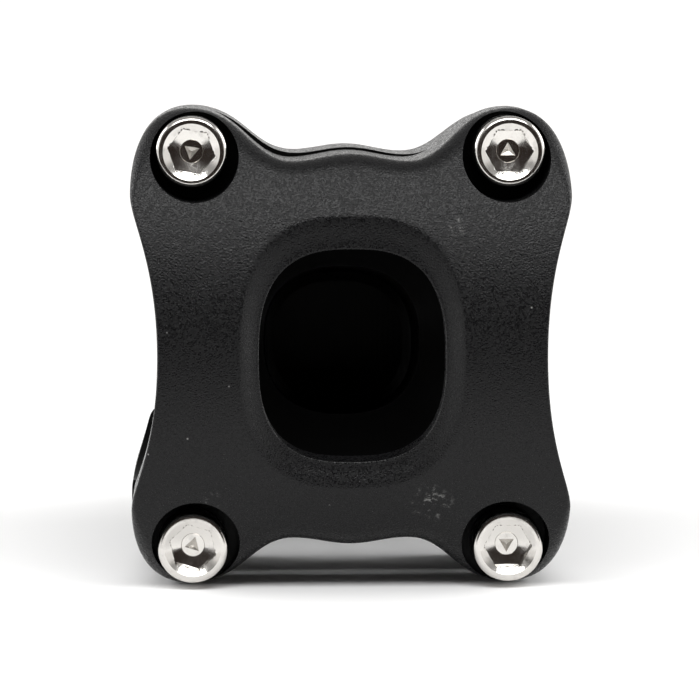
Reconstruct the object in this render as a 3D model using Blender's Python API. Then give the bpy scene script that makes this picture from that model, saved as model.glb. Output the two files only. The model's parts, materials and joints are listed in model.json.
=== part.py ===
"""Threadless handlebar stem for a mountain bicycle, as separate pieces.

Metres, +Z up. The bar clamp faces -Y, the steerer clamp stands at +Y, and the handlebar lies
along X. The origin is under the middle of the stem, on the surface that it stands on.
"""

import math

import bmesh
import bpy
from mathutils import Vector
from mathutils.geometry import interpolate_bezier

# Driving dimensions
BAR_D = 0.0350
STEERER_D = 0.0286
REACH = 0.0500
CLAMP_HALF_HEIGHT = 0.0289
STACK_HEIGHT = 0.0400
SPLIT_GAP = 0.0020
CLEARANCE = 0.0002

# Faceplate
CREST = 0.0215
ARCH_R = 0.0420
WINDOW_HALF_X = 0.0111
WINDOW_HALF_Z = 0.0127
WINDOW_POWER = 2.7
WINDOW_DROP = 0.0003
WINDOW_BACK = 0.0040
DISH_HALF_X = 0.0130
DISH_HALF_Z = 0.0159
DISH_DEPTH = 0.0016
DISH_SINK = 0.0022
DISH_FLARE = 1.6
DISH_FRONT = 0.0060
EDGE_ROUND = 0.0011

# Faceplate bolts: M5, seated in round pockets
BOLT_X = 0.0190
BOLT_Z = 0.0238
SEAT = 0.0085
POCKET_R = 0.0053
POCKET_INWARD_X = 0.00035
POCKET_INWARD_Z = 0.00060
HEAD_R = 0.00425
HEAD_HEIGHT = 0.0050
HEAD_ROUND = 0.0006
SOCKET_ACROSS_FLATS = 0.0050
SOCKET_DEPTH = 0.0026
SHANK_R = 0.00235
SHANK_LENGTH = 0.0180
HOLE_R = 0.0027
WASHER_HEIGHT = 0.0006

# Stem body
BODY_EAR_DEPTH = 0.0130
EXTENSION_START = 0.0030
EXTENSION_END = 0.0440
EXTENSION_POWER = 3.2
HOLLOW_HALF_WIDTH = 0.0100
HOLLOW_HALF_HEIGHT = 0.0095
HOLLOW_END = 0.0300
CLAMP_WALL = 0.0041
LUG_HALF_WIDTH = 0.0120
LUG_REACH = 0.0242
SLIT = 0.0020
PINCH_Y = 0.0188
PINCH_Z = 0.0100
PINCH_SEAT = 0.0080

# Places worked out from the dimensions above
LENGTH = CREST + REACH + LUG_REACH
BAR_Y = CREST - LENGTH / 2
BAR_Z = CLAMP_HALF_HEIGHT
STEERER_Y = BAR_Y + REACH
CLAMP_R = STEERER_D / 2 + CLAMP_WALL

ROUND_SEGMENTS = 48
BORE_SEGMENTS = 72
ARCH_SEGMENTS = 95
HOLE_SEGMENTS = 24
SMOOTH_ANGLE = math.radians(35)


def material(name, colour, roughness, metallic):
    """A plain Principled material."""
    made = bpy.data.materials.new(name)
    made.use_nodes = True
    shader = made.node_tree.nodes["Principled BSDF"]
    shader.inputs["Base Color"].default_value = (*colour, 1.0)
    shader.inputs["Roughness"].default_value = roughness
    shader.inputs["Metallic"].default_value = metallic
    made.diffuse_color = (*colour, 1.0)
    return made


def new_object(name, bm, place=(0, 0, 0)):
    """An object from a bmesh, with its faces pointing out and its round sides smooth."""
    bmesh.ops.recalc_face_normals(bm, faces=bm.faces)
    mesh = bpy.data.meshes.new(name)
    bm.to_mesh(mesh)
    bm.free()
    mesh.shade_smooth()
    mesh.set_sharp_from_angle(angle=SMOOTH_ANGLE)
    obj = bpy.data.objects.new(name, mesh)
    obj.location = place
    bpy.context.scene.collection.objects.link(obj)
    return obj


def guide(obj):
    """Marks a shape that only cuts or joins another."""
    obj.hide_render = True
    obj.display_type = "WIRE"
    return obj


def combine(obj, other, operation):
    """Cuts, joins or intersects obj with another shape."""
    step = obj.modifiers.new(f"{operation.lower()} {other.name}", "BOOLEAN")
    step.operation = operation
    step.object = guide(other)


def round_edges(obj, width, segments=2):
    """Rounds the sharp edges of obj."""
    step = obj.modifiers.new("edge rounding", "BEVEL")
    step.width = width
    step.segments = segments
    step.limit_method = "ANGLE"
    step.angle_limit = math.radians(32)


def skin(rings):
    """A closed bmesh through rings of points, capped at both ends."""
    bm = bmesh.new()
    loops = [[bm.verts.new(point) for point in ring] for ring in rings]
    count = len(loops[0])
    for near, far in zip(loops, loops[1:]):
        for i in range(count):
            j = (i + 1) % count
            bm.faces.new((near[i], near[j], far[j], far[i]))
    bm.faces.new(loops[0])
    bm.faces.new(loops[-1])
    return bm


def superellipse(half_x, half_z, power, segments):
    """Points of a rounded rectangle about the origin, in X and Z."""
    points = []
    for i in range(segments):
        turn = 2 * math.pi * i / segments
        c = math.cos(turn)
        s = math.sin(turn)
        x = math.copysign(abs(c) ** (2 / power), c) * half_x
        z = math.copysign(abs(s) ** (2 / power), s) * half_z
        points.append((x, z))
    return points


def ring_at(points, y, middle_z):
    """A ring of X and Z points placed at one Y."""
    return [Vector((x, y, z + middle_z)) for x, z in points]


def rod(name, radius, length, start, along, segments=ROUND_SEGMENTS):
    """A cylinder from a start point along a direction."""
    bm = bmesh.new()
    bmesh.ops.create_cone(
        bm, cap_ends=True, segments=segments, radius1=radius, radius2=radius, depth=length
    )
    bmesh.ops.translate(bm, verts=bm.verts, vec=(0, 0, length / 2))
    turn = Vector((0, 0, 1)).rotation_difference(Vector(along)).to_matrix().to_4x4()
    bmesh.ops.transform(bm, verts=bm.verts, matrix=turn)
    return new_object(name, bm, start)


def block(name, low, high):
    """A box between two corners."""
    bm = bmesh.new()
    bmesh.ops.create_cube(bm, size=1)
    size = Vector(high) - Vector(low)
    middle = (Vector(high) + Vector(low)) / 2
    bmesh.ops.scale(bm, verts=bm.verts, vec=size)
    bmesh.ops.translate(bm, verts=bm.verts, vec=middle)
    return new_object(name, bm)


def clamp_outline():
    """The clamp's edge seen along Y: four round ears, hollow sides, and a wavy top and bottom."""
    knots = [
        # place in X and Z, direction, handle before, handle after
        ((0.0231, 0.0000), (0, 1), 0.0000, 0.0112),
        ((0.0263, 0.0189), (0, 1), 0.0029, 0.0064),
        ((0.0194, CLAMP_HALF_HEIGHT), (-1, 0), 0.0043, 0.0064),
        ((0.0069, 0.0227), (-1, 0), 0.0049, 0.0025),
        ((0.0000, 0.02355), (-1, 0), 0.0025, 0.0000),
    ]
    steps = (9, 8, 9, 5)
    quarter = []
    for (start, end), count in zip(zip(knots, knots[1:]), steps):
        first = Vector(start[0])
        last = Vector(end[0])
        handle_1 = first + Vector(start[1]) * start[3]
        handle_2 = last - Vector(end[1]) * end[2]
        quarter += interpolate_bezier(first, handle_1, handle_2, last, count)[:-1]
    top = Vector(knots[-1][0])
    side = quarter[0]
    right_top = [(p.x, p.y) for p in quarter]
    left_top = [(-p.x, p.y) for p in reversed(quarter[1:])]
    left_bottom = [(-p.x, -p.y) for p in quarter[1:]]
    right_bottom = [(p.x, -p.y) for p in reversed(quarter[1:])]
    upper = right_top + [(top.x, top.y)] + left_top
    lower = left_bottom + [(top.x, -top.y)] + right_bottom
    return upper + [(-side.x, side.y)] + lower


def clamp_prism(name, near, far):
    """The clamp's outline as a solid between two distances behind the bar's axis."""
    outline = clamp_outline()
    rings = [ring_at(outline, BAR_Y + y, BAR_Z) for y in (near, far)]
    return new_object(name, skin(rings))


def window_cutter():
    """The opening through the faceplate, with its sloping edge at the front."""
    opening = superellipse(WINDOW_HALF_X, WINDOW_HALF_Z, WINDOW_POWER, ROUND_SEGMENTS)
    dish = superellipse(DISH_HALF_X, DISH_HALF_Z, WINDOW_POWER, ROUND_SEGMENTS)
    wide = superellipse(
        DISH_FLARE * DISH_HALF_X, DISH_FLARE * DISH_HALF_Z, WINDOW_POWER, ROUND_SEGMENTS
    )
    crest = BAR_Y - CREST
    middle = BAR_Z - WINDOW_DROP
    rings = [
        ring_at(opening, BAR_Y - WINDOW_BACK, middle),
        ring_at(opening, crest + DISH_DEPTH + DISH_SINK, middle),
        ring_at(dish, crest + DISH_SINK, middle),
        ring_at(wide, crest - DISH_FRONT, middle),
    ]
    return new_object("window_cutter", skin(rings))


def bolt_places():
    """The four faceplate bolts: name, X and height."""
    for side, sign_x in (("left", -1), ("right", 1)):
        for level, sign_z in (("upper", 1), ("lower", -1)):
            yield f"{level}_{side}", sign_x, sign_z


def faceplate(finish):
    """The front half of the bar clamp."""
    front = -CREST - 0.004
    obj = clamp_prism("faceplate", front, -SPLIT_GAP / 2)
    arch_y = BAR_Y - CREST + ARCH_R
    start = (-0.035, arch_y, BAR_Z)
    arch = rod("faceplate_arch", ARCH_R, 0.070, start, (1, 0, 0), ARCH_SEGMENTS)
    combine(obj, arch, "INTERSECT")
    round_edges(obj, EDGE_ROUND)
    bore_start = (-0.040, BAR_Y, BAR_Z)
    bore = rod("faceplate_bore_cutter", BAR_D / 2, 0.080, bore_start, (1, 0, 0), BORE_SEGMENTS)
    combine(obj, bore, "DIFFERENCE")
    combine(obj, window_cutter(), "DIFFERENCE")
    for name, sign_x, sign_z in bolt_places():
        x = sign_x * (BOLT_X - POCKET_INWARD_X)
        z = BAR_Z + sign_z * (BOLT_Z - POCKET_INWARD_Z)
        seat = (x, BAR_Y - SEAT, z)
        combine(obj, rod(f"pocket_{name}", POCKET_R, 0.020, seat, (0, -1, 0)), "DIFFERENCE")
        place = (sign_x * BOLT_X, BAR_Y + 0.001, BAR_Z + sign_z * BOLT_Z)
        combine(obj, rod(f"hole_{name}", HOLE_R, 0.020, place, (0, -1, 0), HOLE_SEGMENTS), "DIFFERENCE")
    obj.data.materials.append(finish)


def extension_rings():
    """Sections of the extension between the two clamps."""
    clamp_z = STACK_HEIGHT / 2
    sections = [
        # distance behind the bar's axis, half width, half height, height of the middle
        (EXTENSION_START, 0.0215, 0.0213, BAR_Z),
        (0.0150, 0.0200, 0.0205, BAR_Z - 0.0004),
        (0.0230, 0.0178, 0.0186, BAR_Z - 0.0024),
        (0.0300, 0.0165, 0.0178, BAR_Z - 0.0054),
        (0.0370, 0.0160, 0.0176, clamp_z + 0.0012),
        (EXTENSION_END, 0.0160, 0.0176, clamp_z),
    ]
    rings = []
    for y, half_x, half_z, middle in sections:
        points = superellipse(half_x, half_z, EXTENSION_POWER, 40)
        rings.append(ring_at(points, BAR_Y + y, middle))
    return rings


def hollow_cutter():
    """The blind hollow that lightens the extension, open to the bar bore."""
    points = superellipse(HOLLOW_HALF_WIDTH, HOLLOW_HALF_HEIGHT, 2.4, 40)
    rings = [
        ring_at(points, BAR_Y + 0.006, BAR_Z - 0.0004),
        ring_at(points, BAR_Y + HOLLOW_END, BAR_Z - 0.0030),
    ]
    return new_object("hollow_cutter", skin(rings))


def pinch_places():
    """The two steerer clamp bolts, which enter from opposite sides: name, side and height."""
    yield "upper", 1, STACK_HEIGHT - PINCH_Z
    yield "lower", -1, PINCH_Z


def stem_body(finish):
    """The rear half of the bar clamp, the extension and the split steerer clamp, in one piece."""
    obj = clamp_prism("stem_body", SPLIT_GAP / 2, BODY_EAR_DEPTH)
    round_edges(obj, EDGE_ROUND)
    combine(obj, new_object("extension", skin(extension_rings())), "UNION")
    foot = (0, STEERER_Y, 0)
    sleeve = rod("steerer_sleeve", CLAMP_R, STACK_HEIGHT, foot, (0, 0, 1), BORE_SEGMENTS)
    round_edges(sleeve, 0.0006)
    combine(obj, sleeve, "UNION")
    low = (-LUG_HALF_WIDTH, STEERER_Y + 0.004, 0.0005)
    high = (LUG_HALF_WIDTH, STEERER_Y + LUG_REACH, STACK_HEIGHT - 0.0005)
    lugs = block("pinch_lugs", low, high)
    round_edges(lugs, 0.0020, 3)
    combine(obj, lugs, "UNION")
    bore_start = (-0.040, BAR_Y, BAR_Z)
    bore = rod("body_bore_cutter", BAR_D / 2, 0.080, bore_start, (1, 0, 0), BORE_SEGMENTS)
    combine(obj, bore, "DIFFERENCE")
    slab_low = (-0.040, BAR_Y - 0.040, -0.010)
    slab_high = (0.040, BAR_Y + SPLIT_GAP / 2, 0.080)
    combine(obj, block("split_cutter", slab_low, slab_high), "DIFFERENCE")
    under = (0, STEERER_Y, -0.010)
    steerer = rod("steerer_cutter", STEERER_D / 2, 0.060, under, (0, 0, 1), BORE_SEGMENTS)
    combine(obj, steerer, "DIFFERENCE")
    combine(obj, hollow_cutter(), "DIFFERENCE")
    slit_low = (-SLIT / 2, STEERER_Y, -0.010)
    slit_high = (SLIT / 2, STEERER_Y + 0.040, 0.060)
    combine(obj, block("slit_cutter", slit_low, slit_high), "DIFFERENCE")
    for name, sign_x, sign_z in bolt_places():
        place = (sign_x * BOLT_X, BAR_Y - 0.001, BAR_Z + sign_z * BOLT_Z)
        combine(obj, rod(f"thread_{name}", HOLE_R, 0.030, place, (0, 1, 0), HOLE_SEGMENTS), "DIFFERENCE")
    for name, side, z in pinch_places():
        y = STEERER_Y + PINCH_Y
        start = (side * 0.020, y, z)
        hole = rod(f"pinch_hole_{name}", HOLE_R, 0.0400, start, (-side, 0, 0), HOLE_SEGMENTS)
        combine(obj, hole, "DIFFERENCE")
        seat = (side * PINCH_SEAT, y, z)
        pocket = rod(f"pinch_pocket_{name}", POCKET_R, 0.015, seat, (side, 0, 0))
        combine(obj, pocket, "DIFFERENCE")
    obj.data.materials.append(finish)


def turned_profile(bm, profile, segments):
    """Spins a profile of radius and height points round Z and closes it."""
    verts = [bm.verts.new((r, 0, h)) for r, h in profile]
    edges = [bm.edges.new(pair) for pair in zip(verts, verts[1:])]
    bmesh.ops.spin(
        bm,
        geom=verts + edges,
        cent=(0, 0, 0),
        axis=(0, 0, 1),
        dvec=(0, 0, 0),
        angle=2 * math.pi,
        steps=segments,
        use_merge=True,
    )
    bmesh.ops.remove_doubles(bm, verts=bm.verts, dist=1e-7)


def socket_cutter(name):
    """A hexagonal prism with a shallow cone at the bottom."""
    corner = SOCKET_ACROSS_FLATS / math.sqrt(3)
    floor = HEAD_HEIGHT - SOCKET_DEPTH
    levels = ((HEAD_HEIGHT + 0.001, corner), (floor, corner), (floor - 0.0006, 0.0012))
    turns = [math.radians(60 * i) for i in range(6)]
    rings = []
    for z, radius in levels:
        rings.append([Vector((radius * math.cos(t), radius * math.sin(t), z)) for t in turns])
    return new_object(name, skin(rings))


def bolt(name, seat, outward, finish):
    """A socket head bolt whose head sits on its washer; outward points along the head."""
    bm = bmesh.new()
    inner = HEAD_R - HEAD_ROUND
    slope = HEAD_ROUND * 0.3
    profile = [
        (0, -SHANK_LENGTH),
        (SHANK_R - 0.0004, -SHANK_LENGTH),
        (SHANK_R, -SHANK_LENGTH + 0.0005),
        (SHANK_R, 0),
        (HEAD_R - 0.0002, 0),
        (HEAD_R, 0.0002),
        (HEAD_R, HEAD_HEIGHT - HEAD_ROUND),
        (HEAD_R - slope, HEAD_HEIGHT - slope),
        (inner, HEAD_HEIGHT),
        (0, HEAD_HEIGHT),
    ]
    turned_profile(bm, profile, 32)
    lift = WASHER_HEIGHT + 2 * CLEARANCE
    place = Vector(seat) + Vector(outward) * lift
    obj = new_object(name, bm, place)
    socket = socket_cutter(f"{name}_socket")
    socket.location = place
    turn = Vector((0, 0, 1)).rotation_difference(Vector(outward))
    for piece in (obj, socket):
        piece.rotation_mode = "QUATERNION"
        piece.rotation_quaternion = turn
    combine(obj, socket, "DIFFERENCE")
    obj.data.materials.append(finish)


def washer(name, seat, outward, finish):
    """A flat washer under a bolt's head."""
    bm = bmesh.new()
    inner = HOLE_R
    profile = [(inner, 0), (HEAD_R, 0), (HEAD_R, WASHER_HEIGHT), (inner, WASHER_HEIGHT), (inner, 0)]
    turned_profile(bm, profile, 32)
    place = Vector(seat) + Vector(outward) * CLEARANCE
    obj = new_object(name, bm, place)
    obj.rotation_mode = "QUATERNION"
    obj.rotation_quaternion = Vector((0, 0, 1)).rotation_difference(Vector(outward))
    obj.data.materials.append(finish)


def main():
    for old in list(bpy.data.objects):
        bpy.data.objects.remove(old, do_unlink=True)
    black = material("shot_peened_black", (0.012, 0.012, 0.013), 0.45, 0.4)
    steel = material("polished_steel", (0.66, 0.64, 0.61), 0.16, 1.0)
    dark = material("dark_steel", (0.10, 0.10, 0.10), 0.35, 1.0)
    stem_body(black)
    faceplate(black)
    for name, sign_x, sign_z in bolt_places():
        seat = (sign_x * BOLT_X, BAR_Y - SEAT, BAR_Z + sign_z * BOLT_Z)
        washer(f"faceplate_washer_{name}", seat, (0, -1, 0), dark)
        bolt(f"faceplate_bolt_{name}", seat, (0, -1, 0), steel)
    for name, side, z in pinch_places():
        seat = (side * PINCH_SEAT, STEERER_Y + PINCH_Y, z)
        washer(f"steerer_washer_{name}", seat, (side, 0, 0), dark)
        bolt(f"steerer_bolt_{name}", seat, (side, 0, 0), steel)


main()
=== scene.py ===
"""Handlebar stem: finished meshes, materials and studio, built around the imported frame."""

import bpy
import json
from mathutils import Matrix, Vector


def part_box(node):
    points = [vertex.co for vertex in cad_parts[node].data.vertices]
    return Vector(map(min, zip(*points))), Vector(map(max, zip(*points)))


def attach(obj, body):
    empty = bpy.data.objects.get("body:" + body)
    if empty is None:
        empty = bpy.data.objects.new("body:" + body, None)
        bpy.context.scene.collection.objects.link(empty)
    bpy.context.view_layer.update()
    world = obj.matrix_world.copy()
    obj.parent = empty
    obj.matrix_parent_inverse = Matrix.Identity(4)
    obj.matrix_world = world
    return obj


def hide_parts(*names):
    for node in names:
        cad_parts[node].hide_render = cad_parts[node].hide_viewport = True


bl_info = {
    "name": "Handlebar stem",
    "version": (1, 0, 0),
    "blender": (4, 5, 0),
    "location": "View3D > Sidebar > Stem",
    "description": "Finished pieces, finishes and studio for a bicycle handlebar stem",
    "category": "Object",
}

import json
import math

import bmesh
import bpy
from mathutils import Matrix, Vector
from mathutils.geometry import interpolate_bezier

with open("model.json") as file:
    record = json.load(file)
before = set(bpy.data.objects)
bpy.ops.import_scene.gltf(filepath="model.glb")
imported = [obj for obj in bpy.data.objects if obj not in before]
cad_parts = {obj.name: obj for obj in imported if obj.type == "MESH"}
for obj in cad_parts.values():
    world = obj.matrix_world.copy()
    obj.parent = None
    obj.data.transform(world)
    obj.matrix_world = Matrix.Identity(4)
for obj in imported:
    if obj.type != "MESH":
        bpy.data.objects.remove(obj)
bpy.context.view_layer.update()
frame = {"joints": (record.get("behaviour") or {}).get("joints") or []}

MM = 0.001
UP = Vector((0, 0, 1))
SPLIT_GAP = 2.0 * MM
PLATE_LOW, PLATE_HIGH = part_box("faceplate")
BODY_LOW, BODY_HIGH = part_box("stem_body")
BAR = Vector((0, PLATE_HIGH.y + SPLIT_GAP / 2, (PLATE_LOW.z + PLATE_HIGH.z) / 2))
HALF_HEIGHT = (PLATE_HIGH.z - PLATE_LOW.z) / 2
HALF_WIDTH = (PLATE_HIGH.x - PLATE_LOW.x) / 2
JOINTS = {joint["name"]: joint for joint in frame["joints"]}
PLATE_SCREWS = ("upper_left", "lower_left", "upper_right", "lower_right")
STEERER_SCREWS = ("upper", "lower")
SCREW_HOLE = 2.7 * MM
WINDOW_POWER = 2.7
# how each screw's socket happens to be turned, in degrees
SOCKET_TURNS = {
    "upper_left": 110,
    "lower_left": 43,
    "upper_right": 60,
    "lower_right": 0,
    "upper": 5,
    "lower": 40,
}
# handling scuffs on the faceplate: right of the middle, above the bar, and radius
SCUFFS = (
    (9.5 * MM, -19.0 * MM, 4.0 * MM),
    (-16.5 * MM, -18.3 * MM, 2.6 * MM),
    (12.5 * MM, 15.5 * MM, 1.8 * MM),
    (-18.5 * MM, -5.5 * MM, 1.2 * MM),
)
# soft lights: name, right of the middle, behind the screw heads, height, distance of the lit spot
# behind the heads, width, depth and power in watts
LIGHTS = (
    ("overhead", 0.0, -0.31, 0.43, -0.08, 0.56, 0.22, 2.7),
    ("left_side", -0.60, 0.15, 0.30, 0.10, 0.50, 0.45, 3.0),
    ("right_side", 0.60, 0.15, 0.30, 0.10, 0.50, 0.45, 3.0),
)


def screw_seat(joint_name):
    """Where a screw's washer sits, and the direction in which its head points."""
    joint = JOINTS[joint_name]
    return Vector(joint["pos_m"]), Vector(joint["axis"])


# ---------------------------------------------------------------- settings


def length(name, description, default):
    """A length in metres for a property group."""
    return bpy.props.FloatProperty(
        name=name, description=description, default=default, subtype="DISTANCE", unit="LENGTH"
    )


def colour(name, description, default):
    """A linear colour for a property group."""
    return bpy.props.FloatVectorProperty(
        name=name, description=description, default=default, subtype="COLOR", size=3, min=0, max=1
    )


class StemClampSettings(bpy.types.PropertyGroup):
    """Sizes of the bar clamp, shared by the faceplate and the body."""

    bar_diameter: length("Bar diameter", "Bore for the handlebar", 35.0 * MM)
    crest: length("Crest", "From the bar's axis to the front of the faceplate", 21.5 * MM)
    arch_radius: length("Arch radius", "Curve of the faceplate's front, seen from the side", 42 * MM)
    window_x: length("Window half width", "Half width of the window", 11.1 * MM)
    window_z: length("Window half height", "Half height of the window", 12.7 * MM)
    window_drop: length("Window drop", "How far the window sits below the middle", 0.3 * MM)
    dish_side: length("Bevel at the sides", "Width of the window's sloping edge", 2.0 * MM)
    dish_top: length("Bevel at the top", "Width of the window's sloping edge", 3.5 * MM)
    dish_bottom: length("Bevel at the bottom", "Width of the window's sloping edge", 2.8 * MM)
    dish_depth: length("Bevel depth", "How far the window's edge is sunk", 1.5 * MM)
    round_top: length("Edge rounding", "Rounding along the top, bottom and ears", 2.0 * MM)
    round_side: length("Side edge break", "Rounding along the machined sides", 0.3 * MM)
    pocket_radius: length("Pocket radius", "Round pocket for a screw's head", 5.3 * MM)
    shoulder: length("Shoulder", "How late the sides swing out to the ears", 11.2 * MM)


class StemBodySettings(bpy.types.PropertyGroup):
    """Sizes of the body."""

    steerer_diameter: length("Steerer diameter", "Bore for the steerer tube", 28.6 * MM)
    wall: length("Clamp wall", "Wall of the steerer clamp", 4.1 * MM)
    ear_depth: length("Ear depth", "Depth of the threaded ears", 14.5 * MM)
    shoulder: length("Shoulder", "How late the sides swing out to the ears", 11.2 * MM)
    ear_drop: length("Ear drop", "How much lower the body's ears are than the faceplate's", 0.5 * MM)
    crown: length("Crown", "How much higher the body is between its ears", 0.25 * MM)
    slit: length("Slit", "Width of the steerer clamp's slit", 2.0 * MM)
    stack: length("Stack height", "Height of the steerer clamp", 40.0 * MM)
    lug_width: length("Lug half width", "From the slit's middle to a lug's side", 12.0 * MM)
    pinch_distance: length("Pinch distance", "From the steerer's axis to its screws", 18.8 * MM)
    hollow_x: length("Hollow half width", "Half width of the blind hollow", 10.0 * MM)
    hollow_z: length("Hollow half height", "Half height of the blind hollow", 9.5 * MM)
    hollow_end: length("Hollow end", "From the bar's axis to the hollow's floor", 29.8 * MM)
    forging_turn: bpy.props.FloatProperty(
        name="Forging turn",
        description="How far the forged blank is turned against its machined faces",
        default=math.radians(0.9),
        subtype="ANGLE",
    )
    grain: length("Smoothing cell", "Cell size of the forged blank's mesh", 0.5 * MM)


class StemScrewSettings(bpy.types.PropertyGroup):
    """Sizes of an M5 socket head screw and its washer."""

    head_radius: length("Head radius", "Radius of the head", 4.25 * MM)
    head_height: length("Head height", "Height of the head", 5.0 * MM)
    rim_round: length("Rim rounding", "Rounding of the head's rim", 0.6 * MM)
    socket_flats: length("Socket size", "Hexagon across flats", 5.0 * MM)
    socket_depth: length("Socket depth", "Depth of the hexagon", 2.6 * MM)
    shank_length: length("Shank length", "From the head to the tip", 18.0 * MM)
    pitch: length("Pitch", "Advance of the thread in one turn", 0.8 * MM)
    washer_height: length("Washer height", "Thickness of the washer", 0.6 * MM)


class StemFinishSettings(bpy.types.PropertyGroup):
    """Colours of the finishes."""

    black: colour("Anodised black", "Colour of the blasted body and faceplate", (0.0040, 0.0040, 0.0044))
    # the machined black is darker and duller than real cut anodising: painted shade that makes the window,
    # bores and hollow read black
    machined: colour("Machined black", "Colour of the cut faces", (0.003, 0.003, 0.003))
    steel: colour("Polished steel", "Colour of the screws", (0.64, 0.62, 0.59))
    washer: colour("Washer steel", "Colour of the washers", (0.12, 0.12, 0.12))


class StemStudioSettings(bpy.types.PropertyGroup):
    """Camera, lights and floor."""

    distance: length("Camera distance", "From the screw heads to the camera", 0.45)
    azimuth: bpy.props.FloatProperty(
        name="Azimuth", description="Camera angle round Z", default=math.radians(-2.2), subtype="ANGLE"
    )
    elevation: bpy.props.FloatProperty(
        name="Elevation", description="Camera angle above level", default=math.radians(5.4), subtype="ANGLE"
    )
    lens: bpy.props.FloatProperty(name="Lens", description="Focal length in mm", default=193.2)
    aim_x: length("Aim X", "Where the camera looks", -0.1 * MM)
    aim_z: length("Aim Z", "Where the camera looks, from the bar's height", 0.1 * MM)
    floor_width: length("Floor width", "Width of the floor", 1.6)
    floor_front: length("Floor front", "How far the floor reaches in front", 0.17)
    floor_back: length("Floor back", "How far the floor reaches behind", 0.22)


# ---------------------------------------------------------------- modelling helpers


def deselect():
    """Leaves object mode with nothing selected."""
    if bpy.context.object and bpy.context.object.mode != "OBJECT":
        bpy.ops.object.mode_set(mode="OBJECT")
    bpy.ops.object.select_all(action="DESELECT")


def activate(obj):
    """Selects one object and makes it active."""
    deselect()
    obj.select_set(True)
    bpy.context.view_layer.objects.active = obj


def loft(name, rings, closed_loop=False):
    """A skin of quads: each ring of points is extruded from the last. Ends are capped or joined."""
    count = len(rings[0])
    deselect()
    bpy.ops.mesh.primitive_circle_add(vertices=count, radius=1)
    obj = bpy.context.object
    obj.name = name
    bpy.ops.object.mode_set(mode="EDIT")
    bpy.ops.mesh.select_mode(type="VERT")
    mesh = bmesh.from_edit_mesh(obj.data)
    mesh.verts.ensure_lookup_table()
    current = mesh.verts[:]
    for vert, point in zip(current, rings[0]):
        vert.co = point
    for ring in rings[1:]:
        places = {vert.index: i for i, vert in enumerate(current)}
        bpy.ops.mesh.extrude_region_move()
        mesh = bmesh.from_edit_mesh(obj.data)
        mesh.verts.index_update()
        fresh = [None] * count
        for vert in mesh.verts:
            if not vert.select:
                continue
            for edge in vert.link_edges:
                old = edge.other_vert(vert)
                if not old.select:
                    fresh[places[old.index]] = vert
        for vert, point in zip(fresh, ring):
            vert.co = point
        current = fresh
    if closed_loop:
        bpy.ops.mesh.select_all(action="SELECT")
        bpy.ops.mesh.remove_doubles(threshold=1e-7)
    else:
        bpy.ops.mesh.edge_face_add()
        bpy.ops.mesh.select_all(action="DESELECT")
        bpy.ops.mesh.select_non_manifold()
        bpy.ops.mesh.edge_face_add()
    bpy.ops.mesh.select_all(action="SELECT")
    bpy.ops.mesh.normals_make_consistent(inside=False)
    deselect()
    return obj


def combine(obj, other, operation, solver="MANIFOLD"):
    """Cuts, joins or intersects obj with other, and removes other."""
    activate(obj)
    step = obj.modifiers.new("combine", "BOOLEAN")
    step.operation = operation
    step.object = other
    step.solver = solver
    before = len(obj.data.polygons)
    bpy.ops.object.modifier_apply(modifier=step.name)
    bpy.data.objects.remove(other, do_unlink=True)
    if not obj.data.polygons or before == 0:
        raise RuntimeError(f"{obj.name} was lost in a {operation}")


def rod(radius, start, end, segments=96, tip_radius=None):
    """A cylinder or cone between two points."""
    start = Vector(start)
    end = Vector(end)
    deselect()
    bpy.ops.mesh.primitive_cone_add(
        vertices=segments,
        radius1=radius,
        radius2=radius if tip_radius is None else tip_radius,
        depth=(end - start).length,
        location=(start + end) / 2,
        rotation=UP.rotation_difference(end - start).to_euler(),
    )
    bpy.ops.object.transform_apply(location=True, rotation=True, scale=True)
    return bpy.context.object


def block(low, high):
    """A box between two corners."""
    low = Vector(low)
    high = Vector(high)
    deselect()
    bpy.ops.mesh.primitive_cube_add(size=1, location=(low + high) / 2)
    bpy.context.object.scale = high - low
    bpy.ops.object.transform_apply(location=True, rotation=True, scale=True)
    return bpy.context.object


def superellipse(half_x, half_z, power, count, half_low=None):
    """Points of a rounded rectangle in X and Z, evenly spaced; half_low is the lower half height."""
    fine = []
    for i in range(count * 8):
        turn = 2 * math.pi * i / (count * 8)
        c = math.cos(turn)
        s = math.sin(turn)
        height = half_z if s > 0 or half_low is None else half_low
        x = math.copysign(abs(c) ** (2 / power), c) * half_x
        z = math.copysign(abs(s) ** (2 / power), s) * height
        fine.append(Vector((x, z)))
    return even_points(fine, count)


def even_points(points, count):
    """A closed run of points, resampled at equal distances from the first one."""
    closed = points + points[:1]
    walked = [0.0]
    for a, b in zip(closed, closed[1:]):
        walked.append(walked[-1] + (b - a).length)
    out = []
    k = 0
    for i in range(count):
        target = walked[-1] * i / count
        while walked[k + 1] < target:
            k += 1
        span = walked[k + 1] - walked[k]
        share = (target - walked[k]) / span if span else 0.0
        out.append(closed[k].lerp(closed[k + 1], share))
    return out


def circle(radius, height, count):
    """A ring of points round Z; the radius is a number or a function of the turn."""
    points = []
    for i in range(count):
        turn = 2 * math.pi * i / count
        r = radius(turn) if callable(radius) else radius
        points.append(Vector((r * math.cos(turn), r * math.sin(turn), height)))
    return points


def smoothstep(x):
    """A soft step from 0 to 1."""
    x = min(max(x, 0.0), 1.0)
    return x * x * (3 - 2 * x)


def shade(obj, materials, pick=None, angle=30):
    """Gives obj its materials and smooth shading; pick chooses a slot for each face."""
    obj.data.materials.clear()
    for finish in materials:
        obj.data.materials.append(finish)
    for face in obj.data.polygons:
        face.material_index = pick(face) if pick else 0
    activate(obj)
    bpy.ops.object.shade_smooth_by_angle(angle=math.radians(angle))
    deselect()


# ---------------------------------------------------------------- clamp shape


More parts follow.
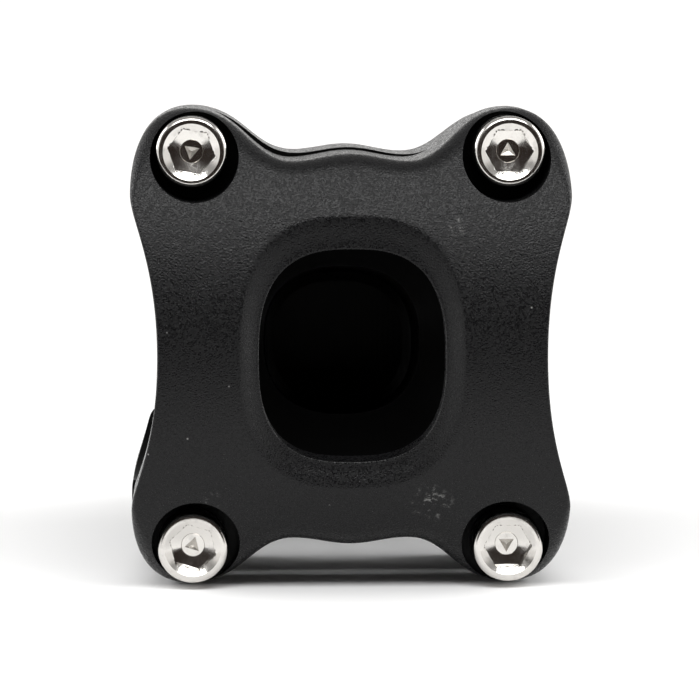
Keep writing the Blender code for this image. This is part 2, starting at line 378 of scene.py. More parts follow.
def clamp_outline(count, top, shoulder, lift=0.0):
    """The clamp's edge seen along Y: four round ears, hollow sides, and a wavy top and bottom."""
    side = HALF_WIDTH
    knots = [
        # place in X and Z, direction, handle before, handle after
        ((23.1 * MM, 0), (0, 1), 0, shoulder),
        ((side, 18.9 * MM), (0, 1), 2.9 * MM, 6.4 * MM),
        ((19.4 * MM, top), (-1, 0), 4.3 * MM, 6.4 * MM),
        ((6.9 * MM, 22.7 * MM + lift), (-1, 0), 4.9 * MM, 2.5 * MM),
        ((0, 23.55 * MM + lift), (-1, 0), 2.5 * MM, 0),
    ]
    quarter = []
    for start, end in zip(knots, knots[1:]):
        first = Vector(start[0])
        last = Vector(end[0])
        handle_1 = first + Vector(start[1]) * start[3]
        handle_2 = last - Vector(end[1]) * end[2]
        quarter += [p.to_2d() for p in interpolate_bezier(first, handle_1, handle_2, last, 60)[:-1]]
    crown = Vector(knots[-1][0])
    points = quarter + [crown]
    points += [Vector((-p.x, p.y)) for p in reversed(quarter)]
    points += [Vector((-p.x, -p.y)) for p in quarter[1:]] + [-crown]
    points += [Vector((p.x, -p.y)) for p in reversed(quarter[1:])]
    return even_points(points, count)


def outward_normals(points):
    """Unit normals of a closed run of points, pointing away from its inside."""
    normals = []
    for i in range(len(points)):
        along = points[(i + 1) % len(points)] - points[i - 1]
        normals.append(Vector((along.y, -along.x)).normalized())
    return normals


def edge_round(sizes, point):
    """Rounding of the faceplate's front edge at a place on its outline: fine along the sides."""
    from_side = smoothstep((abs(point.y) - 15.5 * MM) / (10.0 * MM))
    return sizes.round_side + (sizes.round_top - sizes.round_side) * from_side


def at(point, depth):
    """A point of the clamp's front view, this far in front of the bar's axis."""
    return Vector((point.x, BAR.y - depth, BAR.z + point.y))


def front_ring(sizes, points, sinks):
    """A ring on the faceplate's curved front, sunk below it by the given depths."""
    ring = []
    for point, sink in zip(points, sinks):
        rise = math.sqrt(sizes.arch_radius**2 - point.y * point.y)
        ring.append(at(point, sizes.crest - sizes.arch_radius + rise - sink))
    return ring


def window_outlines(sizes, count):
    """The window's edge, and the outer edge of the slope round it."""
    drop = Vector((0, -sizes.window_drop))
    window = superellipse(sizes.window_x, sizes.window_z, WINDOW_POWER, count)
    slope = superellipse(
        sizes.window_x + sizes.dish_side,
        sizes.window_z + sizes.dish_top,
        WINDOW_POWER,
        count,
        sizes.window_z + sizes.dish_bottom,
    )
    return [p + drop for p in window], [p + drop for p in slope]


def window_rings(sizes, window, slope):
    """The rounded rim of the window, and its slope up to a soft blend with the front."""
    count = len(window)
    rim_round = 0.25 * MM
    rings = []
    steps = 4
    for step in range(steps + 1):
        turn = math.pi / 2 * step / steps
        sink = sizes.dish_depth + rim_round * (1 - math.sin(turn))
        share = rim_round * (1 - math.cos(turn)) / sizes.dish_side
        points = [w.lerp(d, share) for w, d in zip(window, slope)]
        rings.append(front_ring(sizes, points, [sink] * count))
    steps = 16
    first = 0.12
    last = 1.15
    for step in range(1, steps + 1):
        share = step / steps
        sink = sizes.dish_depth * max(1 - 0.35 * smoothstep(share) - 0.65 * share, 0)
        points = [w.lerp(d, first + (last - first) * share) for w, d in zip(window, slope)]
        rings.append(front_ring(sizes, points, [sink] * count))
    return rings, points


def outer_rings(sizes, outline, inner):
    """The open front from the inner points outwards, and its rounded outer edge."""
    normals = outward_normals(outline)
    rounding = [edge_round(sizes, p) for p in outline]
    outer = [p - n * r for p, n, r in zip(outline, normals, rounding)]
    rings = []
    steps = 34
    for step in range(1, steps + 1):
        points = [a.lerp(b, step / steps) for a, b in zip(inner, outer)]
        rings.append(front_ring(sizes, points, [0.0] * len(outline)))
    steps = 9
    for step in range(1, steps + 1):
        turn = math.pi / 2 * step / steps
        points = [p - n * r * (1 - math.sin(turn)) for p, n, r in zip(outline, normals, rounding)]
        rings.append(front_ring(sizes, points, [r * (1 - math.cos(turn)) for r in rounding]))
    return rings


def wall_rings(outline, edge):
    """The wall from the rounded edge back to the split, ending in a finely broken edge."""
    normals = outward_normals(outline)
    back = SPLIT_GAP / 2
    fine = 0.3 * MM
    rings = []
    steps = 12
    for step in range(1, steps + 1):
        ring = []
        for point, front in zip(outline, edge):
            start = BAR.y - front.y
            ring.append(at(point, start + (back + fine - start) * step / steps))
        rings.append(ring)
    steps = 3
    for step in range(1, steps + 1):
        turn = math.pi / 2 * step / steps
        points = [p - n * fine * (1 - math.cos(turn)) for p, n in zip(outline, normals)]
        rings.append([at(p, back + fine * (1 - math.sin(turn))) for p in points])
    return rings


def build_faceplate(sizes):
    """The faceplate: one skin round its front, edge, back and window, then cut for bar and screws."""
    count = 560
    outline = clamp_outline(count, HALF_HEIGHT, sizes.shoulder)
    window, slope = window_outlines(sizes, count)
    rings, blend = window_rings(sizes, window, slope)
    rings += outer_rings(sizes, outline, blend)
    rings += wall_rings(outline, rings[-1])
    back = SPLIT_GAP / 2
    rings.append([at(p * 0.8, back) for p in outline])
    rings.append([at(p, back) for p in window])
    rings.append([at(p, sizes.crest - 6 * MM) for p in window])
    rings.append(rings[0])
    plate = loft("faceplate_shell", rings, closed_loop=True)

    side = Vector((40 * MM, 0, 0))
    combine(plate, rod(sizes.bar_diameter / 2, BAR - side, BAR + side, 192), "DIFFERENCE")
    for name in PLATE_SCREWS:
        seat, outward = screw_seat(f"{name}_bolt_turn")
        inward = Vector((-math.copysign(0.35 * MM, seat.x), 0, -math.copysign(0.6 * MM, seat.z - BAR.z)))
        floor = seat + inward
        pocket = rod(sizes.pocket_radius, floor, floor + outward * 20 * MM, 128)
        combine(plate, pocket, "DIFFERENCE")
        hole = rod(SCREW_HOLE, seat - outward * 12 * MM, seat + outward * 2 * MM, 64)
        combine(plate, hole, "DIFFERENCE")
    return plate


# ---------------------------------------------------------------- body shape


def ring_behind(points, behind, middle):
    """A ring of front-view points, this far behind the bar's axis and round this height."""
    return [Vector((p.x, BAR.y + behind, middle + p.y)) for p in points]


def forged_blank(sizes, steerer, clamp_radius):
    """The forging before machining: ears, extension, sleeve and lugs, melted into one soft shape."""
    turned = Matrix.Rotation(-sizes.forging_turn, 2)
    outline = clamp_outline(220, HALF_HEIGHT - sizes.ear_drop, sizes.shoulder, sizes.crown)
    outline = [turned @ p for p in outline]
    ears = [ring_behind(outline, -2 * MM, BAR.z), ring_behind(outline, sizes.ear_depth, BAR.z)]
    blank = loft("stem_body_shell", ears)
    sections = [
        # distance behind the bar's axis, half width, half height, height of the middle
        (3.0 * MM, 21.5 * MM, 21.3 * MM, BAR.z),
        (15.0 * MM, 20.0 * MM, 20.5 * MM, BAR.z - 0.4 * MM),
        (19.0 * MM, 19.0 * MM, 19.6 * MM, BAR.z - 1.1 * MM),
        (23.0 * MM, 17.8 * MM, 18.6 * MM, BAR.z - 2.4 * MM),
        (27.0 * MM, 17.0 * MM, 18.1 * MM, BAR.z - 3.9 * MM),
        (30.0 * MM, 16.5 * MM, 17.8 * MM, BAR.z - 5.4 * MM),
        (37.0 * MM, 16.0 * MM, 17.6 * MM, sizes.stack / 2 + 1.2 * MM),
        (44.0 * MM, 16.0 * MM, 17.6 * MM, sizes.stack / 2),
    ]
    rings = []
    for behind, half_x, half_z, middle in sections:
        rings.append(ring_behind(superellipse(half_x, half_z, 3.2, 96), behind, middle))
    combine(blank, loft("extension", rings), "UNION", "EXACT")
    over = 1.5 * MM
    sleeve = rod(clamp_radius, (0, steerer, -over), (0, steerer, sizes.stack + over), 160)
    combine(blank, sleeve, "UNION", "EXACT")
    low = (-sizes.lug_width, steerer + 4 * MM, -over)
    lugs = block(low, (sizes.lug_width, BODY_HIGH.y, sizes.stack + over))
    activate(lugs)
    rounding = lugs.modifiers.new("rounding", "BEVEL")
    rounding.width = 2.2 * MM
    rounding.segments = 5
    bpy.ops.object.modifier_apply(modifier=rounding.name)
    combine(blank, lugs, "UNION", "EXACT")

    activate(blank)
    remesh = blank.modifiers.new("blank", "REMESH")
    remesh.mode = "VOXEL"
    remesh.voxel_size = sizes.grain
    bpy.ops.object.modifier_apply(modifier=remesh.name)
    soften = blank.modifiers.new("soften", "SMOOTH")
    soften.factor = 0.6
    soften.iterations = 10
    bpy.ops.object.modifier_apply(modifier=soften.name)
    return blank


def hollow_cutter(sizes):
    """The blind hollow behind the bar, with a rounded floor."""
    hollow = superellipse(sizes.hollow_x, sizes.hollow_z, 2.4, 96)
    end = sizes.hollow_end
    rings = [
        ring_behind(hollow, 6 * MM, BAR.z - 0.4 * MM),
        ring_behind(hollow, end - 2 * MM, BAR.z - 2.8 * MM),
        ring_behind([p * 0.96 for p in hollow], end - 0.7 * MM, BAR.z - 2.9 * MM),
        ring_behind([p * 0.85 for p in hollow], end, BAR.z - 3.0 * MM),
    ]
    return loft("hollow", rings)


def build_body(clamp, sizes):
    """The body: the forged blank, then machined faces, bores, slit and screw holes."""
    steerer = screw_seat("upper_steerer_bolt_turn")[0].y - sizes.pinch_distance
    clamp_radius = sizes.steerer_diameter / 2 + sizes.wall
    blank = forged_blank(sizes, steerer, clamp_radius)

    far = 0.1
    stack = sizes.stack
    combine(blank, block((-far, BAR.y - far, -far), (far, BAR.y + SPLIT_GAP / 2, far)), "DIFFERENCE")
    combine(blank, block((-far, steerer, stack), (far, far, far)), "DIFFERENCE")
    seat_radius = clamp_radius + 0.8 * MM
    combine(blank, rod(seat_radius, (0, steerer, stack), (0, steerer, far), 160), "DIFFERENCE")
    combine(blank, block((-far, -far, -far), (far, far, 0)), "DIFFERENCE")
    side = Vector((40 * MM, 0, 0))
    combine(blank, rod(clamp.bar_diameter / 2, BAR - side, BAR + side, 192), "DIFFERENCE")
    below = (0, steerer, -5 * MM)
    above = (0, steerer, 50 * MM)
    combine(blank, rod(sizes.steerer_diameter / 2, below, above, 160), "DIFFERENCE")
    combine(blank, hollow_cutter(sizes), "DIFFERENCE")
    half_slit = sizes.slit / 2
    combine(blank, block((-half_slit, steerer, -far), (half_slit, far, far)), "DIFFERENCE")
    for name in PLATE_SCREWS:
        seat, outward = screw_seat(f"{name}_bolt_turn")
        combine(blank, rod(SCREW_HOLE, seat - outward * 40 * MM, seat, 64), "DIFFERENCE")
    for name in STEERER_SCREWS:
        seat, outward = screw_seat(f"{name}_steerer_bolt_turn")
        hole = rod(SCREW_HOLE, seat - outward * 30 * MM, seat + outward * MM, 64)
        combine(blank, hole, "DIFFERENCE")
        pocket = rod(clamp.pocket_radius, seat, seat + outward * 15 * MM, 128)
        combine(blank, pocket, "DIFFERENCE")
    return blank, steerer


# ---------------------------------------------------------------- screws and washers


def head_socket(sizes):
    """The tool for the socket: wide chamfer, hexagon, conical floor, disc and a three-sided point."""
    count = 144
    top = sizes.head_height
    floor = top - sizes.socket_depth
    half_flats = sizes.socket_flats / 2
    mouth = 3.4 * MM
    disc = 1.42 * MM
    drill_slope = 0.3

    def hexagon(turn):
        return half_flats / math.cos((turn % (math.pi / 3)) - math.pi / 6)

    def triangle(turn, size):
        """A triangle whose corners point at the hexagon's flats."""
        return size / 2 / math.cos(((turn + math.pi / 2) % (2 * math.pi / 3)) - math.pi / 3)

    rings = []
    for down in (-0.4 * MM, 0, 0.1 * MM, 0.2 * MM, 0.3 * MM, 0.4 * MM, 0.5 * MM, 0.6 * MM):
        rings.append(circle(lambda turn: max(mouth - 1.7 * down, hexagon(turn)), top - down, count))
    edge = circle(hexagon, floor, count)
    for point in edge:
        point.z += (point.xy.length - half_flats) * drill_slope
    rings.append(edge)
    low = floor - (half_flats - disc) * drill_slope
    rings.append(circle(disc, low, count))
    low -= 0.08 * MM
    rings.append(circle(disc - 0.06 * MM, low, count))
    rings.append(circle(lambda turn: triangle(turn, 1.05 * MM), low, count))
    rings.append(circle(lambda turn: triangle(turn, 0.06 * MM), low + 0.3 * MM, count))
    return loft("socket_tool", rings)


def screw_mesh(sizes, name):
    """A socket head screw standing on its head's underside, with a real thread."""
    count = 72
    tip = -sizes.shank_length
    radius = sizes.head_radius
    rim = sizes.rim_round
    height = sizes.head_height
    major = 2.45 * MM
    depth = 0.42 * MM
    neck = 2.3 * MM

    def thread(turn, z):
        """Radius of the thread at a turn and height, fading out under the head and at the tip."""
        share = (z / sizes.pitch - turn / (2 * math.pi)) % 1.0
        ridge = abs(share - 0.5) * 2
        groove = depth * min(max((ridge - 0.1) / 0.75, 0.0), 1.0)
        fade = smoothstep((-1.2 * MM - z) / (0.8 * MM))
        chamfer = max(0.0, 0.6 * MM - (z - tip)) * 0.8
        return (major - groove - chamfer) * fade + neck * (1 - fade)

    rings = []
    steps = int(sizes.shank_length / sizes.pitch * 8)
    for i in range(steps + 1):
        z = tip + (sizes.shank_length - 0.15 * MM) * i / steps
        rings.append(circle(lambda turn: thread(turn, z), z, count))
    rings.append(circle(neck + 0.15 * MM, 0, count))
    rings.append(circle(radius - 0.25 * MM, 0, count))
    rings.append(circle(radius - 0.07 * MM, 0.07 * MM, count))
    rings.append(circle(radius, 0.25 * MM, count))
    rings.append(circle(radius, height - rim, count))
    for i in range(1, 9):
        turn = math.pi / 2 * i / 8
        lip = radius - rim * (1 - math.cos(turn))
        rings.append(circle(lip, height - rim * (1 - math.sin(turn)), count))
    rings.append(circle(3.4 * MM, height, count))
    screw = loft(name, rings)
    combine(screw, head_socket(sizes), "DIFFERENCE")
    return screw


def place(obj, seat, outward, lift, turn=0.0):
    """Moves a piece made along Z to a seat, pointing outward, and leaves its object at the origin."""
    swing = UP.rotation_difference(outward).to_matrix().to_4x4()
    spin = Matrix.Rotation(math.radians(turn), 4, "Z")
    obj.data.transform(Matrix.Translation(seat + outward * lift) @ swing @ spin)


def washer_mesh(sizes, name):
    """A flat washer with broken edges."""
    count = 72
    inner = 2.65 * MM
    outer = sizes.head_radius
    height = sizes.washer_height
    soft = 0.08 * MM
    profile = [
        (inner, soft),
        (inner + soft, 0),
        (outer - soft, 0),
        (outer, soft),
        (outer, height - soft),
        (outer - soft, height),
        (inner + soft, height),
        (inner, height - soft),
        (inner, soft),
    ]
    return loft(name, [circle(radius, z, count) for radius, z in profile], closed_loop=True)


# ---------------------------------------------------------------- finishes


def new_group(name, inputs, outputs):
    """An empty shader node group with named sockets."""
    tree = bpy.data.node_groups.new(name, "ShaderNodeTree")
    for label, kind, default in inputs:
        socket = tree.interface.new_socket(label, in_out="INPUT", socket_type=kind)
        if default is not None:
            socket.default_value = default
    for label, kind in outputs:
        tree.interface.new_socket(label, in_out="OUTPUT", socket_type=kind)
    return tree, tree.nodes.new("NodeGroupInput"), tree.nodes.new("NodeGroupOutput")


def math_node(tree, operation, a, b=None, clamp=False):
    """A math node on sockets or numbers; returns its output."""
    node = tree.nodes.new("ShaderNodeMath")
    node.operation = operation
    node.use_clamp = clamp
    for socket, value in zip(node.inputs, (a, b)):
        if value is None:
            continue
        if isinstance(value, (int, float)):
            socket.default_value = value
        else:
            tree.links.new(value, socket)
    return node.outputs[0]


def ramp(tree, value, low, high, to_low=0.0, to_high=1.0):
    """Maps a value between two limits, smoothly; returns the output."""
    node = tree.nodes.new("ShaderNodeMapRange")
    node.interpolation_type = "SMOOTHSTEP"
    for label, number in (("From Min", low), ("From Max", high), ("To Min", to_low), ("To Max", to_high)):
        node.inputs[label].default_value = number
    tree.links.new(value, node.inputs["Value"])
    return node.outputs["Result"]


def noise(tree, coords, scale, detail=2.0, rough=0.5):
    """A noise texture; returns its value."""
    node = tree.nodes.new("ShaderNodeTexNoise")
    node.inputs["Scale"].default_value = scale
    node.inputs["Detail"].default_value = detail
    node.inputs["Roughness"].default_value = rough
    tree.links.new(coords, node.inputs["Vector"])
    return node.outputs[0]


def cells(tree, coords, scale, feature="F1"):
    """A Voronoi texture; returns the node."""
    node = tree.nodes.new("ShaderNodeTexVoronoi")
    node.feature = feature
    node.inputs["Scale"].default_value = scale
    tree.links.new(coords, node.inputs["Vector"])
    return node


def peened_group():
    """Tiny dents left by blasting: a height and a random value for each dent."""
    tree, start, end = new_group(
        "peened_surface",
        [("Vector", "NodeSocketVector", None)],
        [("Height", "NodeSocketFloat"), ("Glint", "NodeSocketFloat")],
    )
    coords = start.outputs["Vector"]
    dents = cells(tree, coords, 4800)
    small = noise(tree, coords, 6500, 3.0, 0.6)
    height = math_node(tree, "ADD", dents.outputs["Distance"], small)
    tree.links.new(height, end.inputs["Height"])
    split = tree.nodes.new("ShaderNodeSeparateColor")
    tree.links.new(dents.outputs["Color"], split.inputs["Color"])
    tree.links.new(split.outputs[0], end.inputs["Glint"])
    return tree


def dust_group():
    """Sparse pale specks and short faint scuffs from handling."""
    tree, start, end = new_group(
        "dust_and_scuffs",
        [("Vector", "NodeSocketVector", None), ("Amount", "NodeSocketFloat", 0.5)],
        [("Mask", "NodeSocketFloat")],
    )
    coords = start.outputs["Vector"]
    specks = cells(tree, coords, 420)
    dot = ramp(tree, specks.outputs["Distance"], 0.0, 0.075, 1.0, 0.0)
    split = tree.nodes.new("ShaderNodeSeparateColor")
    tree.links.new(specks.outputs["Color"], split.inputs["Color"])
    rare = ramp(tree, split.outputs[0], 0.62, 0.66)
    dots = math_node(tree, "MULTIPLY", dot, rare)
    worn = None
    for right, up, size in SCUFFS:
        centre = BAR + Vector((right, 0, up))
        away = tree.nodes.new("ShaderNodeVectorMath")
        away.operation = "DISTANCE"
        tree.links.new(coords, away.inputs[0])
        away.inputs[1].default_value = (centre.x, PLATE_LOW.y + 2 * MM, centre.z)
        patch = ramp(tree, away.outputs["Value"], size * 0.4, size, 1.0, 0.0)
        worn = patch if worn is None else math_node(tree, "MAXIMUM", worn, patch)
    haze = ramp(tree, noise(tree, coords, 1300, 5.0, 0.75), 0.53, 0.68)
    scuffs = math_node(tree, "MULTIPLY", haze, worn)
    both = math_node(tree, "ADD", dots, scuffs, clamp=True)
    out = math_node(tree, "MULTIPLY", both, start.outputs["Amount"], clamp=True)
    tree.links.new(out, end.inputs["Mask"])
    return tree


def turning_group():
    """Fine tool lines: rings round X, where the bar bore was cut, broken up by noise."""
    tree, start, end = new_group(
        "tool_lines",
        [("Vector", "NodeSocketVector", None), ("Spacing", "NodeSocketFloat", 9000.0)],
        [("Height", "NodeSocketFloat")],
    )
    split = tree.nodes.new("ShaderNodeSeparateXYZ")
    tree.links.new(start.outputs["Vector"], split.inputs["Vector"])
    phase = math_node(tree, "MULTIPLY", split.outputs["X"], start.outputs["Spacing"])
    wave = math_node(tree, "SINE", phase)
    rough = math_node(tree, "MULTIPLY", noise(tree, start.outputs["Vector"], 1200, 2.0), 2.0)
    tree.links.new(math_node(tree, "ADD", wave, rough), end.inputs["Height"])
    return tree


def new_material(name, base, roughness, metallic):
    """A material with its Principled shader and Object coordinates; returns all four."""
    finish = bpy.data.materials.new(name)
    finish.use_nodes = True
    tree = finish.node_tree
    shader = tree.nodes["Principled BSDF"]
    shader.inputs["Base Color"].default_value = (*base, 1)
    shader.inputs["Roughness"].default_value = roughness
    shader.inputs["Metallic"].default_value = metallic
    coords = tree.nodes.new("ShaderNodeTexCoord").outputs["Object"]
    return finish, tree, shader, coords


def use_group(tree, group, coords, **values):
    """Places a node group and feeds it coordinates and values."""
    node = tree.nodes.new("ShaderNodeGroup")
    node.node_tree = group
    tree.links.new(coords, node.inputs["Vector"])
    for label, value in values.items():
        node.inputs[label].default_value = value
    return node


def bump(tree, shader, height, depth, strength=1.0):
    """Feeds a height to the shader's normal."""
    node = tree.nodes.new("ShaderNodeBump")
    node.inputs["Strength"].default_value = strength
    node.inputs["Distance"].default_value = depth
    tree.links.new(height, node.inputs["Height"])
    tree.links.new(node.outputs["Normal"], shader.inputs["Normal"])


def blend_colour(tree, shader, mask, base, other):
    """Base colour between two colours by a mask."""
    mix = tree.nodes.new("ShaderNodeMix")
    mix.data_type = "RGBA"
    mix.inputs[6].default_value = (*base, 1)
    mix.inputs[7].default_value = (*other, 1)
    tree.links.new(mask, mix.inputs[0])
    tree.links.new(mix.outputs[2], shader.inputs["Base Color"])


def blasted_black(name, base, groups):
    """Shot-peened and black anodised aluminium."""
    finish, tree, shader, coords = new_material(name, base, 0.42, 0.0)
    shader.inputs["Specular IOR Level"].default_value = 0.21
    peened = use_group(tree, groups["peened"], coords)
    dust = use_group(tree, groups["dust"], coords, Amount=0.8)
    bump(tree, shader, peened.outputs["Height"], 0.042 * MM)
    gloss = ramp(tree, peened.outputs["Glint"], 0.0, 1.0, 0.09, 0.50)
    tree.links.new(gloss, shader.inputs["Roughness"])
    blend_colour(tree, shader, dust.outputs["Mask"], base, (0.30, 0.30, 0.29))
    return finish


def machined_black_with_shade(name, base, groups):
    """Black anodised aluminium as cut: smoother, with fine tool lines; kept darker and duller than real, as
    painted shade in the window, bores and hollow.
    """
    finish, tree, shader, coords = new_material(name, base, 0.30, 0.0)
    # low reflectivity here is painted shade that keeps the bores and the window dark
    shader.inputs["Specular IOR Level"].default_value = 0.07
    lines = use_group(tree, groups["lines"], coords)
    bump(tree, shader, lines.outputs["Height"], 0.003 * MM)
    gloss = ramp(tree, noise(tree, coords, 700, 3.0), 0.3, 0.7, 0.28, 0.34)
    tree.links.new(gloss, shader.inputs["Roughness"])
    return finish


def polished_steel(name, base, groups):
    """Bright plated steel with a faint haze and hairline marks."""
    finish, tree, shader, coords = new_material(name, base, 0.12, 1.0)
    haze = noise(tree, coords, 450, 4.0, 0.6)
    fine = noise(tree, coords, 2600, 3.0, 0.6)
    share = math_node(tree, "MULTIPLY", haze, 0.6)
    both = math_node(tree, "ADD", share, math_node(tree, "MULTIPLY", fine, 0.4))
    tree.links.new(ramp(tree, both, 0.3, 0.72, 0.09, 0.24), shader.inputs["Roughness"])
    bump(tree, shader, fine, 0.004 * MM, 0.5)
    stain = ramp(tree, noise(tree, coords, 900, 3.0), 0.56, 0.75, 0.0, 0.35)
    blend_colour(tree, shader, stain, base, tuple(0.55 * c for c in base))
    return finish


def washer_steel(name, base, groups):
    """Dark plated washer steel."""
    finish, tree, shader, coords = new_material(name, base, 0.35, 1.0)
    grain = noise(tree, coords, 1600, 3.0)
    tree.links.new(ramp(tree, grain, 0.3, 0.7, 0.28, 0.45), shader.inputs["Roughness"])
    bump(tree, shader, grain, 0.004 * MM)
    return finish


def finishes():
    """The object's materials, made once."""
    settings = bpy.context.scene.stem_finish
    makers = {
        "blasted_black_finish": (blasted_black, settings.black),
        "machined_black_with_shade_finish": (machined_black_with_shade, settings.machined),
        "polished_steel_finish": (polished_steel, settings.steel),
        "washer_steel_finish": (washer_steel, settings.washer),
    }
    if not all(name in bpy.data.materials for name in makers):
        groups = {"peened": peened_group(), "dust": dust_group(), "lines": turning_group()}
        for name, (make, base) in makers.items():
            make(name, tuple(base), groups)
    return {name: bpy.data.materials[name] for name in makers}


# ---------------------------------------------------------------- operators


class STEM_OT_faceplate(bpy.types.Operator):
    """Builds the faceplate"""

    bl_idname = "stem.faceplate"
    bl_label = "Faceplate"

    def execute(self, context):
        sizes = context.scene.stem_clamp
        looks = finishes()
        plate = build_faceplate(sizes)
        slack = 0.02 * MM
        bore = sizes.bar_diameter / 2 + slack
        back = BAR.y - SPLIT_GAP / 2 - slack / 2
        pocket = sizes.pocket_radius + 0.75 * MM

        def cut_face(face):
            """1 on the faces left by the bar bore, the split and the screws' seats, 0 elsewhere."""
            away = Vector((0, face.center.y - BAR.y, face.center.z - BAR.z)).length
            if away < bore or face.center.y > back:
                return 1
            for name in PLATE_SCREWS:
                seat, outward = screw_seat(f"{name}_bolt_turn")
                off = face.center - seat
                across = (off - outward * off.dot(outward)).length
                flat = abs(face.normal.dot(outward)) > 0.999 and abs(off.dot(outward)) < slack
                if across < SCREW_HOLE + 0.1 * MM or (across < pocket and flat):
                    return 1
            return 0

        # the machined black on the bar bore also serves as painted shade inside the window
        shade(plate, [looks["blasted_black_finish"], looks["machined_black_with_shade_finish"]], cut_face)
        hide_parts("faceplate")
        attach(plate, "faceplate")
        return {"FINISHED"}


class STEM_OT_body(bpy.types.Operator):
    """Builds the stem's body"""

    bl_idname = "stem.body"
    bl_label = "Body"

    def execute(self, context):
        clamp = context.scene.stem_clamp
        sizes = context.scene.stem_body
        looks = finishes()
        body, steerer = build_body(clamp, sizes)
        slack = 0.02 * MM
        bar_bore = clamp.bar_diameter / 2 + slack
        steerer_bore = sizes.steerer_diameter / 2 + slack
        split = BAR.y + SPLIT_GAP / 2 + slack / 2
        hollow = sizes.hollow_x + 3 * MM
        hollow_end = BAR.y + sizes.hollow_end + 0.2 * MM

        def cut_face(face):
            """1 on the faces left by the bores, the hollow and the flat cuts, 0 elsewhere."""
            c = face.center
            if Vector((0, c.y - BAR.y, c.z - BAR.z)).length < bar_bore:
                return 1
            if Vector((c.x, c.y - steerer, 0)).length < steerer_bore:
                return 1
            if c.y < split or c.z < slack / 2 or abs(c.z - sizes.stack) < slack / 2:
                return 1
            if max(abs(c.x), abs(c.z - BAR.z)) < hollow and c.y < hollow_end:
                return 1
            return 0

        # the machined black on the bores and the hollow also serves as painted shade inside them
        shade(body, [looks["blasted_black_finish"], looks["machined_black_with_shade_finish"]], cut_face)
        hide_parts("stem_body")
        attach(body, "stem_body")
        return {"FINISHED"}


class STEM_OT_screws(bpy.types.Operator):
    """Builds the four faceplate screws and the two steerer screws"""

    bl_idname = "stem.screws"
    bl_label = "Screws"

    def execute(self, context):
        sizes = context.scene.stem_screw
        looks = finishes()
        pattern = screw_mesh(sizes, "screw_pattern")
        clear = 0.2 * MM
        places = [(f"faceplate_bolt_{name}", f"{name}_bolt_turn", name) for name in PLATE_SCREWS]
        places += [(f"steerer_bolt_{name}", f"{name}_steerer_bolt_turn", name) for name in STEERER_SCREWS]
        for node, joint, key in places:
            screw = pattern.copy()
            screw.data = pattern.data.copy()
            screw.name = f"{node}_screw"
            context.scene.collection.objects.link(screw)
            seat, outward = screw_seat(joint)
            place(screw, seat, outward, sizes.washer_height + 2 * clear, SOCKET_TURNS[key])
            shade(screw, [looks["polished_steel_finish"]])
            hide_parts(node)
            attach(screw, node)
        bpy.data.objects.remove(pattern, do_unlink=True)
        return {"FINISHED"}


class STEM_OT_washers(bpy.types.Operator):
    """Builds the washers under the screws' heads"""

    bl_idname = "stem.washers"
    bl_label = "Washers"

    def execute(self, context):
        sizes = context.scene.stem_screw
        looks = finishes()
        places = [(f"faceplate_washer_{name}", f"{name}_bolt_turn") for name in PLATE_SCREWS]
        places += [(f"steerer_washer_{name}", f"{name}_steerer_bolt_turn") for name in STEERER_SCREWS]
        for node, joint in places:
            ring = washer_mesh(sizes, f"{node}_ring")
            seat, outward = screw_seat(joint)
            place(ring, seat, outward, 0.2 * MM)
            shade(ring, [looks["washer_steel_finish"]])
            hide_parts(node)
            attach(ring, node)
        return {"FINISHED"}


class STEM_OT_stage(bpy.types.Operator):
    """Sets up the floor, soft lights, surroundings and camera"""

    bl_idname = "stem.stage"
    bl_label = "Stage"

    def execute(self, context):
        studio = context.scene.stem_studio
        context.scene.view_settings.view_transform = "Standard"
        deselect()
        front = -studio.floor_front
        back = studio.floor_back
        bpy.ops.mesh.primitive_plane_add(size=1, location=(0, (front + back) / 2, -0.05 * MM))
        floor = context.object
        floor.name = "floor"
        floor.scale = (studio.floor_width, back - front, 1)
        paper, _, shader, _ = new_material("white_paper", (0.90, 0.90, 0.90), 0.8, 0.0)
        shader.inputs["Specular IOR Level"].default_value = 0.2
        floor.data.materials.append(paper)
        add_flag()
        add_surroundings(context.scene)
        heads = screw_seat("upper_left_bolt_turn")[0].y - 6 * MM
        for name, right, behind, height, spot, width, depth, power in LIGHTS:
            position = (right, heads + behind, height)
            add_light(name, position, (0, heads + spot, 0), (width, depth), power)
        add_camera(studio, heads)
        return {"FINISHED"}


def add_surroundings(scene):
    """A white tent round the object, bright at eye level and dimmer overhead."""
    world = bpy.data.worlds.new("studio")
    scene.world = world
    world.use_nodes = True
    tree = world.node_tree
    back = tree.nodes["Background"]
    back.inputs["Color"].default_value = (1.0, 0.99, 0.975, 1)
    split = tree.nodes.new("ShaderNodeSeparateXYZ")
    tree.links.new(tree.nodes.new("ShaderNodeTexCoord").outputs["Generated"], split.inputs["Vector"])
    tree.links.new(ramp(tree, split.outputs["Z"], 0.2, 0.5, 1.12, 0.42), back.inputs["Strength"])


def add_flag():
    """A dark upright card in front of the object, which shows only in reflections."""
    width = 2.0
    low = -0.4
    high = 0.62
    position = (0, -0.90, (low + high) / 2)
    bpy.ops.mesh.primitive_plane_add(size=1, location=position, rotation=(math.pi / 2, 0, 0))
    flag = bpy.context.object
    flag.name = "flag"
    flag.scale = (width, high - low, 1)
    flag.visible_camera = False
    dark, _, shader, _ = new_material("dim_room", (0.01, 0.008, 0.007), 1.0, 0.0)
    shader.inputs["Specular IOR Level"].default_value = 0.0
    shader.inputs["Emission Color"].default_value = (0.022, 0.017, 0.015, 1)
    shader.inputs["Emission Strength"].default_value = 1.0
    flag.data.materials.append(dark)
    return flag


def add_light(name, location, target, size, power):
    """A soft rectangular light aimed at a point."""
    bpy.ops.object.light_add(type="AREA", location=location)
    light = bpy.context.object
    light.name = name
    light.data.shape = "RECTANGLE"
    light.data.size, light.data.size_y = size
    light.data.energy = power
    aim = Vector(target) - Vector(location)
    light.rotation_euler = aim.to_track_quat("-Z", "Y").to_euler()


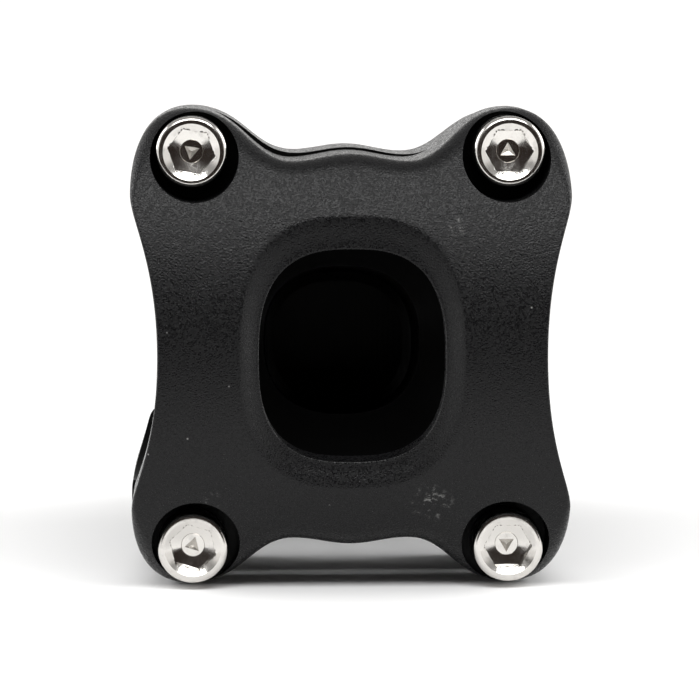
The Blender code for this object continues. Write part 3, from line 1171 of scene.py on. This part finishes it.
def add_camera(studio, heads):
    """The camera in front of the faceplate, a little to the left and above."""
    sensor = 36
    data = bpy.data.cameras.new("camera")
    camera = bpy.data.objects.new("camera", data)
    bpy.context.scene.collection.objects.link(camera)
    aim = Vector((studio.aim_x, heads, BAR.z + studio.aim_z))
    level = math.cos(studio.elevation)
    across = math.sin(studio.azimuth) * level
    away = -math.cos(studio.azimuth) * level
    back = Vector((across, away, math.sin(studio.elevation)))
    camera.location = aim + back * studio.distance
    camera.rotation_euler = (-back).to_track_quat("-Z", "Y").to_euler()
    data.lens = studio.lens
    data.sensor_width = sensor
    data.clip_start = 0.01
    bpy.context.scene.camera = camera


class STEM_PT_panel(bpy.types.Panel):
    """Sizes, finishes and steps of the stem"""

    bl_label = "Stem"
    bl_idname = "STEM_PT_panel"
    bl_space_type = "VIEW_3D"
    bl_region_type = "UI"
    bl_category = "Stem"

    def draw(self, context):
        layout = self.layout
        for name, group in SETTINGS.items():
            box = layout.box()
            settings = getattr(context.scene, name)
            for key in group.__annotations__:
                box.prop(settings, key)
        for step in STEPS:
            layout.operator(step.bl_idname)


SETTINGS = {
    "stem_clamp": StemClampSettings,
    "stem_body": StemBodySettings,
    "stem_screw": StemScrewSettings,
    "stem_finish": StemFinishSettings,
    "stem_studio": StemStudioSettings,
}
STEPS = (STEM_OT_stage, STEM_OT_faceplate, STEM_OT_body, STEM_OT_screws, STEM_OT_washers)


def register():
    for group in SETTINGS.values():
        bpy.utils.register_class(group)
    for step in (*STEPS, STEM_PT_panel):
        bpy.utils.register_class(step)
    for name, group in SETTINGS.items():
        setattr(bpy.types.Scene, name, bpy.props.PointerProperty(type=group))


def unregister():
    for name in SETTINGS:
        delattr(bpy.types.Scene, name)
    for step in (STEM_PT_panel, *reversed(STEPS)):
        bpy.utils.unregister_class(step)
    for group in reversed(list(SETTINGS.values())):
        bpy.utils.unregister_class(group)


def main():
    register()
    bpy.ops.stem.stage()
    bpy.ops.stem.faceplate()
    bpy.ops.stem.body()
    bpy.ops.stem.screws()
    bpy.ops.stem.washers()


if __name__ == "__main__":
    main()
